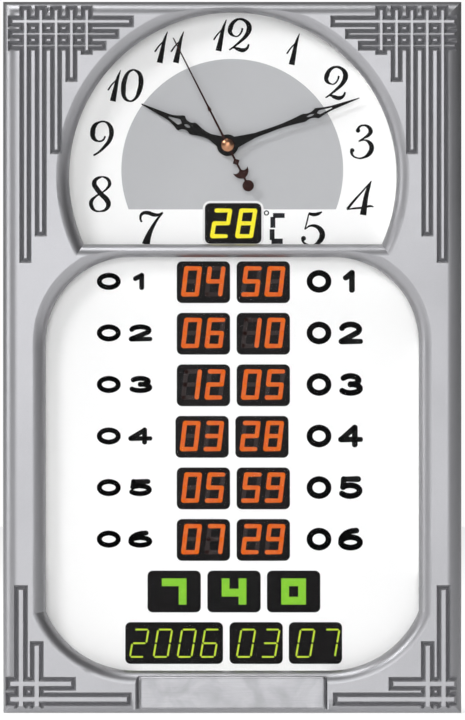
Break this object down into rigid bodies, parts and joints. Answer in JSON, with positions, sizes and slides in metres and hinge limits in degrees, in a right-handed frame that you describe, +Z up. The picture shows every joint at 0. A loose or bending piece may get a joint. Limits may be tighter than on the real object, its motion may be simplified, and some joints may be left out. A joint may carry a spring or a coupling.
{
  "type": "azan clock",
  "caption": "Wall-hung prayer-time clock: silver moulded case with corner lattices, round dial with ornate hands above, panel of numeric LED displays below.",
  "frame": {"origin": "centre of the flat back that lies against the wall", "axes": "+X to the right as seen from the front, +Z up, +Y into the wall; the face looks along -Y"},
  "size_m": [0.308, 0.046, 0.478],
  "materials": {
    "silver_case": "satin silver paint",
    "nameplate_metal": "fine brushed",
    "clear_pane": "clear",
    "white_plastic": "matt",
    "white_print": "printed white sheet",
    "display_black": "dark tinted",
    "board_green": "circuit board",
    "black_plastic": "matt",
    "grey_plastic": "matt",
    "steel": "zinc plated",
    "black_metal": "gloss black",
    "second_metal": "dark red",
    "copper_cap": "polished copper",
    "brass_part": "machined",
    "rubber_part": "matt",
    "white_gear": "moulded",
    "magnet_grey": "ferrite",
    "copper_wire": "enamelled wire",
    "cell_jacket": "printed jacket",
    "paper_cone": "pressed paper",
    "ribbon_grey": "flat cable"
  },
  "bodies": {
    "case": {"front_frame": "silver_case", "nameplate": "nameplate_metal", "front_pane": "clear_pane", "pane_spacers": "white_plastic", "dial_plate": "white_print", "display_panel": "white_print", "time_displays": "display_black", "day_displays": "display_black", "date_displays": "display_black", "temperature_display": "display_black", "display_board": "board_green", "temperature_board": "board_green", "board_spacers": "black_plastic", "chassis": "grey_plastic", "chassis_screws": "steel", "small_screws": "steel", "movement_case": "black_plastic", "movement_back": "black_plastic", "train_bridge": "white_plastic", "threaded_bush": "brass_part", "bush_nut": "brass_part", "bush_washer": "steel", "movement_gasket": "rubber_part", "stator": "steel", "drive_coil": "copper_wire", "movement_board": "board_green", "aa_cell": "cell_jacket", "cell_contacts": "steel", "control_board": "board_green", "control_chips": "black_plastic", "key_switches": "black_plastic", "volume_control": "grey_plastic", "switch_body": "grey_plastic", "power_jack": "black_plastic", "backup_cell": "steel", "speaker_frame": "steel", "speaker_cone": "paper_cone", "speaker_magnet": "magnet_grey", "ribbon_cable": "ribbon_grey", "rear_cover": "black_plastic", "cover_screws": "steel"},
    "minute": {"minute_hand": "black_metal", "minute_arbor": "white_gear"},
    "hour": {"hour_hand": "black_metal", "hour_wheel": "white_gear"},
    "second": {"second_hand": "second_metal", "centre_cap": "copper_cap", "second_arbor": "white_gear"},
    "motion": {"motion_wheel": "white_gear"},
    "third": {"third_wheel": "white_gear"},
    "fifth": {"fifth_wheel": "white_gear"},
    "motor": {"rotor": "magnet_grey"},
    "setter": {"setting_knob": "white_gear"},
    "hour_button": {"hour_key": "black_plastic"},
    "minute_button": {"minute_key": "black_plastic"},
    "mode_button": {"mode_key": "black_plastic"},
    "stop_button": {"stop_key": "black_plastic"},
    "volume": {"volume_knob": "black_plastic"},
    "power": {"power_slider": "black_plastic"},
    "door": {"movement_door": "black_plastic"}
  },
  "joints": [
    {"name": "minute_turn", "type": "hinge", "parent": "case", "child": "minute", "pos_m": [-0.0031, -0.015, 0.1429], "axis": [0, 1, 0], "continuous": true},
    {"name": "hour_turn", "type": "hinge", "parent": "case", "child": "hour", "pos_m": [-0.0031, -0.015, 0.1429], "axis": [0, 1, 0], "continuous": true},
    {"name": "second_turn", "type": "hinge", "parent": "case", "child": "second", "pos_m": [-0.0031, -0.015, 0.1429], "axis": [0, 1, 0], "continuous": true},
    {"name": "motion_turn", "type": "hinge", "parent": "case", "child": "motion", "pos_m": [-0.0151, -0.015, 0.1429], "axis": [0, 1, 0], "continuous": true},
    {"name": "third_turn", "type": "hinge", "parent": "case", "child": "third", "pos_m": [0.00781, -0.015, 0.1492], "axis": [0, 1, 0], "continuous": true},
    {"name": "fifth_turn", "type": "hinge", "parent": "case", "child": "fifth", "pos_m": [-0.0048, -0.015, 0.15255], "axis": [0, 1, 0], "continuous": true},
    {"name": "motor_turn", "type": "hinge", "parent": "case", "child": "motor", "pos_m": [-0.01208, -0.015, 0.15675], "axis": [0, 1, 0], "continuous": true},
    {"name": "setter_turn", "type": "hinge", "parent": "case", "child": "setter", "pos_m": [-0.02643, -0.015, 0.1449], "axis": [0, 1, 0], "continuous": true},
    {"name": "hour_press", "type": "slide", "parent": "case", "child": "hour_button", "axis": [0, -1, 0], "range_m": [0, 0.0008], "stiffness_N_per_m": 400, "springref_m": -0.001},
    {"name": "minute_press", "type": "slide", "parent": "case", "child": "minute_button", "axis": [0, -1, 0], "range_m": [0, 0.0008], "stiffness_N_per_m": 400, "springref_m": -0.001},
    {"name": "mode_press", "type": "slide", "parent": "case", "child": "mode_button", "axis": [0, -1, 0], "range_m": [0, 0.0008], "stiffness_N_per_m": 400, "springref_m": -0.001},
    {"name": "stop_press", "type": "slide", "parent": "case", "child": "stop_button", "axis": [0, -1, 0], "range_m": [0, 0.0008], "stiffness_N_per_m": 400, "springref_m": -0.001},
    {"name": "volume_turn", "type": "hinge", "parent": "case", "child": "volume", "pos_m": [-0.104, -0.005, -0.158], "axis": [0, 1, 0], "range_deg": [-150, 150]},
    {"name": "power_slide", "type": "slide", "parent": "case", "child": "power", "axis": [1, 0, 0], "range_m": [0, 0.003]},
    {"name": "door_lift", "type": "slide", "parent": "case", "child": "door", "axis": [0, 1, 0], "range_m": [0, 0.015]}
  ],
  "couplings": [
    {"joint": "hour_turn", "follows": "minute_turn", "ratio": 0.083333},
    {"joint": "motion_turn", "follows": "minute_turn", "ratio": -0.33333},
    {"joint": "setter_turn", "follows": "minute_turn", "ratio": 1.2},
    {"joint": "third_turn", "follows": "minute_turn", "ratio": -7.5},
    {"joint": "second_turn", "follows": "minute_turn", "ratio": 60},
    {"joint": "fifth_turn", "follows": "minute_turn", "ratio": -360},
    {"joint": "motor_turn", "follows": "minute_turn", "ratio": 1800}
  ]
}
